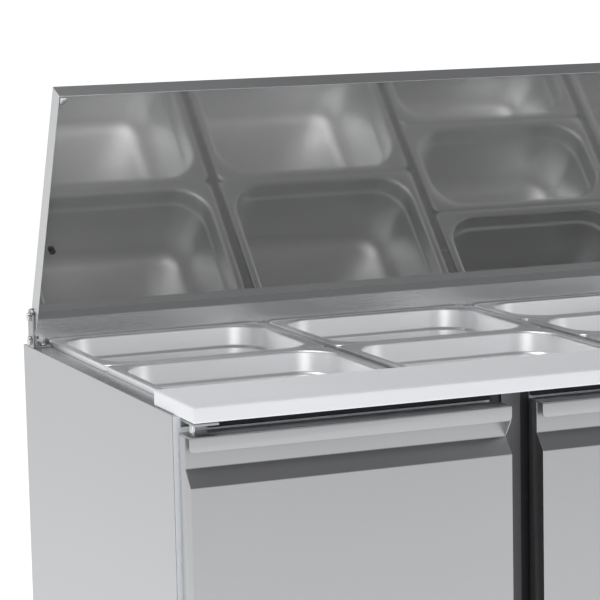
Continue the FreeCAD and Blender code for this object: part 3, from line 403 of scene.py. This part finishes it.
# ---- Between and above the doors ----
# Black plastic backs each mullion under a steel strip whose tone is darkened to a painted shade; the
# backing's black is partly its own colour and partly painted shade deep in the gap between the doors. A black
# strip with round ends runs along the rail above each door, and the frame's own steel shows past its end.
# Painted shade: this steel's tone is set far darker than stainless, for the shadow in the narrow gap between
# the doors.
shade_darkened_strip_steel = ground_steel("shade_darkened_strip_steel", (0.13, 0.13, 0.135), 0.42, (900, 12, 900))
moulded_black, shader, place = new_finish("moulded_black", 0.0)
lay_on(place, shader, place.noise(30.0).tint((0.010, 0.010, 0.011), (0.022, 0.022, 0.024)),
       place.noise(80.0).between(0.38, 0.55), place.noise(1200.0), 0.00003)
# The black backing is partly real black plastic and partly painted shade where little light reaches between
# the doors.
eased("mullion_backings", moulded_black, 0.4 * MM, 2)
eased("mullion_covers", shade_darkened_strip_steel, 0.8 * MM, 3)
eased("rail_strips", seal_black, 1.2 * MM, 3)

# ---- The cutting board ----
# One loose slab of white polyethylene, planed with a fine matt grain, its corners and edges eased.
polyethylene, shader, place = new_finish("polyethylene", 0.0)
knife_marks = place.stretched((30, 1400, 1400)).noise(1.0, 4.0)
lay_on(place, shader, place.noise(5.0).tint((0.80, 0.81, 0.83), (0.86, 0.87, 0.89)),
       knife_marks.between(0.42, 0.55), knife_marks * 0.5 + place.noise(1500.0) * 0.5, 0.00004)
shader.inputs["Subsurface Weight"].default_value = 0.08
shader.inputs["Subsurface Radius"].default_value = (0.004, 0.004, 0.004)
eased("cutting_board", polyethylene, 2.2 * MM, 4)

# ---- The pans ----
# Deep-drawn stainless: a flat rim whose edge turns down, a rounded mouth, a shoulder that keeps
# stacked pans apart, and a basin that narrows into a broad round floor.
pan_steel, shader, place = new_finish("pan_steel", 1.0)
drawn = place.stretched((60, 60, 700)).noise(1.0, 3.0)
level = place.node("SeparateXYZ", None, {"Vector": place}, 2)
# Painted light: the pan's floor is tinted lighter than its walls, a painted pool of light from above; the
# same mask also makes the floor rougher.
lit_rough_floor = level.node("MapRange", None, {"Value": level, "From Min": 0.760, "From Max": 0.728})
lay_on(place, shader, (lit_rough_floor * 0.85 + place.noise(4.0) * 0.15).tint((0.92, 0.925, 0.93), (1.0, 1.0, 1.0)),
       lit_rough_floor.between(0.34, 0.46) + drawn * 0.06, drawn, 0.00001)
rim_height, pan_sheet = 8.7 * MM, 0.8 * MM
basin_inset, floor_radius, floor_steps = 21 * MM, 26 * MM, 8
basin_corner, floor_corner, floor_dish = 47, 25, 0.3 * MM


def round_ring(centre, width, depth, radius, height, steps=9):
    """Points round a rectangle with round corners, at one height."""
    points = []
    for quarter, (sx, sy) in enumerate(((1, 1), (-1, 1), (-1, -1), (1, -1))):
        heart = centre + Vector((sx * (width / 2 - radius), sy * (depth / 2 - radius), 0))
        for step in range(steps + 1):
            angle = (quarter + step / steps) * math.pi / 2
            points.append(Vector((heart.x + radius * math.cos(angle),
                                  heart.y + radius * math.sin(angle), height)))
    return points


def loft(form, rings):
    """Skins a run of rings; a ring of one point closes an end."""
    made = [[form.verts.new(point) for point in ring] for ring in rings]
    for lower, upper in zip(made, made[1:]):
        for i in range(max(len(lower), len(upper))):
            corners = (lower[i % len(lower)], lower[(i + 1) % len(lower)],
                       upper[(i + 1) % len(upper)], upper[i % len(upper)])
            corners = list(dict.fromkeys(corners))
            if len(corners) > 2:
                form.faces.new(corners)


def pan(node):
    """A drawn pan: rings from the rim's edge to the middle of the floor, then given its wall."""
    low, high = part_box(node)
    centre = (low + high) / 2
    width, depth, top, floor = high.x - low.x, high.y - low.y, high.z, low.z + pan_sheet
    form = bmesh.new()
    # inset from the rim's edge, drop below the rim, corner radius
    levels = [(0, rim_height, 11), (0, 2.4 * MM, 11), (0.5 * MM, 1.0 * MM, 11), (1.2 * MM, 0.3 * MM, 11),
              (2.4 * MM, 0, 11), (9.5 * MM, 0, 55), (11.2 * MM, 0.5 * MM, 54), (12.4 * MM, 1.7 * MM, 53),
              (13 * MM, 4 * MM, 52.5), (14.2 * MM, 28 * MM, 52), (15 * MM, 30 * MM, 51.5),
              (17 * MM, 32 * MM, 50), (17.6 * MM, 34 * MM, 49.5)]
    basin_depth = top - floor
    rings = [round_ring(centre, width - 2 * inset, depth - 2 * inset, radius * MM, top - drop)
             for inset, drop, radius in levels]
    for step in range(floor_steps + 1):
        angle = step / floor_steps * math.pi / 2
        inset = basin_inset + floor_radius * (1 - math.cos(angle))
        drop = basin_depth - floor_radius + floor_radius * math.sin(angle)
        corner = (basin_corner - (basin_corner - floor_corner) * step / floor_steps) * MM
        rings.append(round_ring(centre, width - 2 * inset, depth - 2 * inset, corner, top - drop))
    rings.append([Vector((centre.x, centre.y, floor - floor_dish))])
    loft(form, rings)
    bmesh.ops.recalc_face_normals(form, faces=form.faces)
    if sum(face.normal.z for face in form.faces if face.calc_center_median().z < floor + MM) < 0:
        bmesh.ops.reverse_faces(form, faces=form.faces)
    piece = set_in_place(f"{node}_drawn", form, pan_steel, node)
    wall = piece.modifiers.new("wall", "SOLIDIFY")
    wall.thickness = pan_sheet
    wall.offset = -1
    graph = bpy.context.evaluated_depsgraph_get()
    piece.data = bpy.data.meshes.new_from_object(piece.evaluated_get(graph))
    piece.modifiers.clear()
    smooth_but_creased(piece.data, 50)


pan_nodes = [node for node in frame["nodes"] if node.startswith("pan_") and node != "pan_bars"]
for node in sorted(pan_nodes):
    pan(node)

# ---- The cover ----
# A shallow folded steel tray with a bright inner panel that mirrors the pans. It turns on a bolt at
# each end, in a bracket screwed to the deck, and rubber stops keep it off the deck when closed.
cover_steel = ground_steel("cover_steel", (0.50, 0.505, 0.51), 0.30, (14, 900, 900))
mirror_steel, shader, place = new_finish("mirror_steel", 0.82)
polish = place.stretched((3, 160, 160)).noise(1.0, 3.0)
lay_on(place, shader, place.noise(2.5).tint((0.40, 0.40, 0.395), (0.45, 0.45, 0.445)),
       polish.between(0.05, 0.08))
bright_steel, shader, place = new_finish("bright_steel", 1.0)
lay_on(place, shader, place.noise(20.0).tint((0.56, 0.56, 0.57), (0.66, 0.66, 0.67)),
       place.noise(150.0).between(0.12, 0.22), place.noise(500.0), 0.00001)


def coat(node, finish):
    """Gives a CAD piece whose shape is right its finish."""
    for holder in frame["nodes"][node].material_slots:
        holder.material = finish


eased("cover_skin", cover_steel, 0.5 * MM, 3)
coat("cover_inner_panel", mirror_steel)
bracket_steel = ground_steel("bracket_steel", (0.36, 0.36, 0.365), 0.30, (900, 900, 12))
eased("cover_brackets", bracket_steel, 0.6 * MM, 2)
eased("cover_bolts", bright_steel, 0.8 * MM, 3)
eased("cover_stops", seal_black, 1.4 * MM, 4)
eased("flap_skin", cover_steel, 0.5 * MM, 2)
eased("flap_hinge_fixed", bright_steel, 0.2 * MM, 1)
eased("flap_hinge_moving", bright_steel, 0.2 * MM, 1)
eased("hinge_brackets", bracket_steel, 0.7 * MM, 2)
eased("hinge_pins", bright_steel, 0.8 * MM, 2)

# ---- Legs and feet ----
# Plain tube legs, each with a levelling foot: a round pad under a threaded stem with a lock nut.
eased("legs", bright_steel, 0.8 * MM, 2)


def lathe(form, centre, profile, count=40, axis="Z"):
    """A turned solid; the profile's points are (radius, place along the axis) in millimetres."""
    tilt = Matrix.Rotation(math.radians(-90), 3, "X") if axis == "Y" else Matrix.Identity(3)
    rings = []
    for radius, along in profile:
        steps = count if radius else 1
        rings.append([Vector(centre) + tilt @ Vector((radius * MM * math.cos(math.tau * i / steps),
                                                      radius * MM * math.sin(math.tau * i / steps),
                                                      along * MM))
                      for i in range(steps)])
    loft(form, rings)
    bmesh.ops.recalc_face_normals(form, faces=form.faces)


def foot(form, centre):
    """One levelling foot: its pad and threaded stem in one turning, and its nut in another."""
    pad = [(0, 0), (22.5, 0), (24, 1.5), (24, 5.5), (22.5, 8), (10, 9), (9, 12)]
    root, thread, stem_foot, turns = 5.4, 0.6, 13, 40
    stem = [(root + thread * (step % 2), stem_foot + step) for step in range(turns)]
    lathe(form, centre, pad + stem + [(0, stem_foot + turns)])
    lathe(form, centre, [(0, 15), (9, 15), (10.4, 16), (10.4, 20.5), (9, 21.5), (0, 21.5)], 6)


low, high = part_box("foot_pads")
pad_radius = 24 * MM
form = bmesh.new()
for x in (low.x + pad_radius, high.x - pad_radius):
    for y in (low.y + pad_radius, high.y - pad_radius):
        foot(form, (x, y, 0))
smooth_but_creased(set_in_place("levelling_feet", form, moulded_black, "foot_pads").data)

# ---- Bolt heads inside the cover ----
# One low round head holds each front corner of the cover's inner panel. They are placed on the
# closed cover and then swung open with it about its pivot.
cover_pivot, open_angle = (0, 0.314, 0.900), math.radians(-66.57)
bolt_across, bolt_forward, bolt_down = 0.684, -0.346, -0.003
form = bmesh.new()
for x in (-bolt_across, bolt_across):
    lathe(form, (x, bolt_forward, bolt_down), [(0, 0.2), (6, 0), (6, -1.2), (4.2, -2.8), (0, -3.3)], 28)
swing = Matrix.Translation(cover_pivot) @ Matrix.Rotation(open_angle, 4, "X")
bmesh.ops.transform(form, matrix=swing, verts=form.verts)
smooth_but_creased(set_in_place("corner_bolts", form, bright_steel, "cover_skin", False).data)

# ---- The machine bay's front and the vents at the back ----
# Rows of slots are punched in the steel, with a slanted blade behind each one.
eased("front_grille", side_steel, 0.2 * MM, 1)
eased("base_tray", back_steel, 0.4 * MM, 1)
dark_steel = ground_steel("dark_steel", (0.28, 0.28, 0.285), 0.45, (14, 900, 900))


def blade_bank(name, node, place, span, rise, columns, rows, blade, tilt):
    """A grid of slanted blades, made by a node group whose inputs are the bank's sizes."""
    group = bpy.data.node_groups.new(name, "GeometryNodeTree")
    group.interface.new_socket("Geometry", in_out="OUTPUT", socket_type="NodeSocketGeometry")
    values = {"Place": ("Vector", place), "Span": ("Float", span), "Rise": ("Float", rise),
              "Columns": ("Int", columns), "Rows": ("Int", rows), "Blade": ("Vector", blade),
              "Tilt": ("Vector", (tilt, 0.0, 0.0)), "Finish": ("Material", dark_steel)}
    asked = {label: group.interface.new_socket(label, in_out="INPUT", socket_type=f"NodeSocket{kind}")
             for label, (kind, value) in values.items()}
    add, wire = group.nodes.new, group.links.new
    given = add("NodeGroupInput").outputs
    grid, stood, bar, many = (add("GeometryNode" + kind) for kind in (
        "MeshGrid", "Transform", "MeshCube", "InstanceOnPoints"))
    real, finished = add("GeometryNodeRealizeInstances"), add("GeometryNodeSetMaterial")
    result = add("NodeGroupOutput")
    for label, socket in (("Span", grid.inputs["Size X"]), ("Rise", grid.inputs["Size Y"]),
                          ("Columns", grid.inputs["Vertices X"]), ("Rows", grid.inputs["Vertices Y"]),
                          ("Place", stood.inputs["Translation"]), ("Blade", bar.inputs["Size"]),
                          ("Tilt", many.inputs["Rotation"]), ("Finish", finished.inputs["Material"])):
        wire(given[label], socket)
    stood.inputs["Rotation"].default_value = (math.pi / 2, 0, 0)
    wire(grid.outputs["Mesh"], stood.inputs["Geometry"])
    wire(stood.outputs["Geometry"], many.inputs["Points"])
    wire(bar.outputs["Mesh"], many.inputs["Instance"])
    wire(many.outputs["Instances"], real.inputs["Geometry"])
    wire(real.outputs["Geometry"], finished.inputs["Geometry"])
    wire(finished.outputs["Geometry"], result.inputs[0])
    carrier = bpy.data.objects.new(f"{name}_carrier", bpy.data.meshes.new(f"{name}_carrier"))
    scene.collection.objects.link(carrier)
    modifier = carrier.modifiers.new("blades", "NODES")
    modifier.node_group = group
    for label, (kind, value) in values.items():
        modifier[asked[label].identifier] = value
    graph = bpy.context.evaluated_depsgraph_get()
    form = bmesh.new()
    form.from_mesh(bpy.data.meshes.new_from_object(carrier.evaluated_get(graph)))
    bpy.data.objects.remove(carrier)
    ease_edges(form, 0.25 * MM, 1)
    set_in_place(name, form, dark_steel, node, False)


blade_bank("front_louvres", "front_grille", place=(-0.130, -0.275, 0.169), span=0.7, rise=0.095,
           columns=3, rows=6, blade=(0.304, 0.0009, 0.013), tilt=0.7)
blade_bank("back_louvres", "back_panel", place=(0.400, 0.3438, 0.174), span=0.3, rise=0.090,
           columns=2, rows=6, blade=(0.264, 0.0009, 0.012), tilt=-0.6)

# ---- The controls ----
# A moulded housing with a dark display window and two lamps, two keys with a raised arrow each, and
# a rocker switch with a raised dot.
eased("control_housing", moulded_black, 0.9 * MM, 3)
window_glass, shader, place = new_finish("window_glass", 0.0)
lay_on(place, shader, place.noise(20.0).tint((0.010, 0.004, 0.004), (0.020, 0.008, 0.008)),
       place.noise(60.0).between(0.05, 0.09))
lamp_green, shader, place = new_finish("lamp_green", 0.0)
lay_on(place, shader, place.noise(200.0).tint((0.05, 0.55, 0.12), (0.10, 0.75, 0.20)),
       place.noise(90.0).between(0.2, 0.3))
shader.inputs["Emission Color"].default_value = (0.1, 0.9, 0.25, 1)
shader.inputs["Emission Strength"].default_value = 0.8
key_grey, shader, place = new_finish("key_grey", 0.0)
lay_on(place, shader, place.noise(60.0).tint((0.24, 0.245, 0.25), (0.30, 0.305, 0.31)),
       place.noise(300.0).between(0.45, 0.6), place.noise(1500.0), 0.00003)
for node in ("key_up", "key_down"):
    eased(node, key_grey, 0.8 * MM, 3)
eased("power_switch", moulded_black, 0.6 * MM, 3)
low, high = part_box("control_housing")


def slab(name, node, finish, centre, extent, radius):
    """A small plate with round edges."""
    form = bmesh.new()
    block(form, centre, extent)
    ease_edges(form, radius, 3)
    smooth_but_creased(set_in_place(name, form, finish, node, False).data, 50)


panel_middle, window_across, lamp_across, lamp_apart = 0.170, 0.043, 0.078, 0.008
slab("display_window", "control_housing", window_glass,
     (low.x + window_across, low.y - 0.2 * MM, panel_middle), (0.056, 0.0016, 0.028), 0.5 * MM)
lamp_profile = [(0, -1.2), (1.2, -1.0), (1.8, -0.2), (1.8, 0.6), (0, 0.6)]
for index, rise in enumerate((panel_middle - lamp_apart, panel_middle + lamp_apart)):
    form = bmesh.new()
    lathe(form, (low.x + lamp_across, low.y + 0.4 * MM, rise), lamp_profile, 20, "Y")
    smooth_but_creased(set_in_place(f"lamp_{index}", form, lamp_green, "control_housing", False).data)
for node, way in (("key_up", 1), ("key_down", -1)):
    least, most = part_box(node)
    heart = (least + most) / 2
    form = bmesh.new()
    arrow = [form.verts.new((heart.x + x * MM, least.y + y * MM, heart.z + way * z * MM))
             for y in (-0.4, 0.4) for x, z in ((-3, -1.8), (3, -1.8), (0, 2.4))]
    for corners in ((0, 1, 2), (3, 4, 5), (0, 1, 4, 3), (1, 2, 5, 4), (2, 0, 3, 5)):
        form.faces.new([arrow[corner] for corner in corners])
    bmesh.ops.recalc_face_normals(form, faces=form.faces)
    set_in_place(f"{node}_arrow", form, moulded_white, node, False)

# ---- Compressor, condenser and fans ----
# A black enamelled can with a welded seam stands beside a finned condenser; each fan has swept,
# twisted blades on a round hub.
enamel, shader, place = new_finish("enamel", 0.0)
lay_on(place, shader, place.noise(15.0).tint((0.012, 0.012, 0.013), (0.022, 0.022, 0.023)),
       place.noise(120.0).between(0.22, 0.34), place.noise(400.0), 0.00004)
low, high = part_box("compressor")
form = bmesh.new()
can_radius, dome_foot, dome_rise, dome_steps = 64, 100, 33.5, 10
dome = [(can_radius * math.cos(math.pi / 2 * i / dome_steps),
         dome_foot + dome_rise * math.sin(math.pi / 2 * i / dome_steps)) for i in range(dome_steps)]
seamed_wall = [(0, 0), (69, 0), (70, 1.5), (69, 4), (65, 7), (can_radius, 12), (can_radius, 56), (66.5, 57.5),
               (66.5, 61.5), (can_radius, 63)]
lathe(form, ((low.x + high.x) / 2, (low.y + high.y) / 2, low.z),
      seamed_wall + dome + [(0, dome_foot + dome_rise)], 56)
block(form, ((low.x + high.x) / 2 - 20 * MM, low.y + 3 * MM, low.z + 38 * MM), (0.034, 0.016, 0.036))
smooth_but_creased(set_in_place("compressor_can", form, enamel, "compressor").data)
eased("fan_motors", enamel, 1.0 * MM, 2)
fin_metal = ground_steel("fin_metal", (0.74, 0.74, 0.75), 0.38, (900, 900, 30))
coat("condenser", fin_metal)
coat("cooler_coil", fin_metal)
zinc, shader, place = new_finish("zinc", 1.0)
spangle = place.node("TexVoronoi", None, {"Vector": place, "Scale": 90.0})
lay_on(place, shader, spangle.tint((0.42, 0.43, 0.44), (0.60, 0.61, 0.62)),
       place.noise(60.0).between(0.35, 0.55))
eased("fan_shroud", zinc, 0.5 * MM, 2)


def rotor(node):
    """A fan: blades that are lofted outward through oval sections, on a turned hub."""
    low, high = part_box(node)
    heart = Vector(((low.x + high.x) / 2, 0, (low.z + high.z) / 2))
    deep, mid = high.y - low.y, (low.y + high.y) / 2
    blades, sections, points = 5, 8, 12
    blade_foot, blade_length, half_chord, chord_swell, tip_share = 14, 37.5, 11, 6, 0.55
    sweep, untwist, half_sheet, bow_rise = 0.35, 0.35, 0.8 * MM, 1.6 * MM
    slope = (deep / 2 - 2 * MM) / (17.5 * MM)
    form = bmesh.new()
    for blade in range(blades):
        rings = []
        for step in range(sections + 1):
            radius = (blade_foot + blade_length * step / sections) * MM
            swell = chord_swell * math.sin(math.pi * min(1, step / (sections - 1)))
            half = (half_chord + swell) * MM * (tip_share if step == sections else 1)
            ring = []
            for point in range(points):
                angle = math.tau * point / points
                along, thick = half * math.cos(angle), half_sheet * math.sin(angle)
                bow = bow_rise * (1 - (along / half) ** 2)
                about = math.tau * blade / blades + sweep * step / sections + along / radius * 0.8
                y = mid + along * slope * (1 - untwist * step / sections) + thick + bow - half_sheet
                ring.append(heart + Vector((radius * math.cos(about), y, radius * math.sin(about))))
            rings.append(ring)
        root, tip = (sum(ring, Vector()) / points for ring in (rings[0], rings[-1]))
        loft(form, [[root]] + rings + [[tip]])
    hub_length = deep / MM
    lathe(form, (heart.x, low.y, heart.z), [(0, 0), (14, 0), (16.5, 1.2), (17, 3.5), (17, hub_length - 1),
                                            (16, hub_length), (0, hub_length)], 40, "Y")
    smooth_but_creased(set_in_place(f"{node}_rotor", form, moulded_black, node).data)


for node in ("condenser_fan", "cooler_fan"):
    rotor(node)
copper, shader, place = new_finish("copper", 1.0)
lay_on(place, shader, place.noise(25.0).tint((0.50, 0.22, 0.11), (0.74, 0.38, 0.22)),
       place.noise(80.0).between(0.24, 0.42))
coat("refrigerant_pipes", copper)

# ---- Inside the compartment ----
# An aluminium liner over rigid foam, a cooler in a pressed housing on the back wall, and coated
# wire shelves on clips.
liner_metal = ground_steel("liner_metal", (0.72, 0.73, 0.74), 0.42, (14, 900, 900))
coat("liner", liner_metal)
foam, shader, place = new_finish("foam", 0.0)
cells = place.node("TexVoronoi", None, {"Vector": place, "Scale": 900.0})
lay_on(place, shader, place.noise(9.0).tint((0.72, 0.64, 0.40), (0.82, 0.75, 0.52)),
       cells.between(0.8, 0.95), cells, 0.0002)
coat("insulation", foam)
eased("cooler_housing", zinc, 0.5 * MM, 2)
eased("shelf_posts", liner_metal, 0.6 * MM, 1)
wire_coat, shader, place = new_finish("wire_coat", 0.0)
lay_on(place, shader, place.noise(30.0).tint((0.70, 0.71, 0.72), (0.78, 0.79, 0.80)),
       place.noise(120.0).between(0.3, 0.42))
coat("wire_shelves", wire_coat)

# ---- The mains inlet ----
# A moulded socket in the back panel with three plated blades.
eased("mains_inlet", moulded_black, 0.7 * MM, 2)
low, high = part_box("mains_inlet")
blade_size, blade_depth = (0.002, 0.014, 0.005), 11 * MM
for index, (across, rise) in enumerate(((-0.007, 0.003), (0.007, 0.003), (0.0, -0.003))):
    centre = ((low.x + high.x) / 2 + across, high.y - blade_depth, (low.z + high.z) / 2 + rise)
    slab(f"inlet_blade_{index}", "mains_inlet", bright_steel, centre, blade_size, 0.4 * MM)
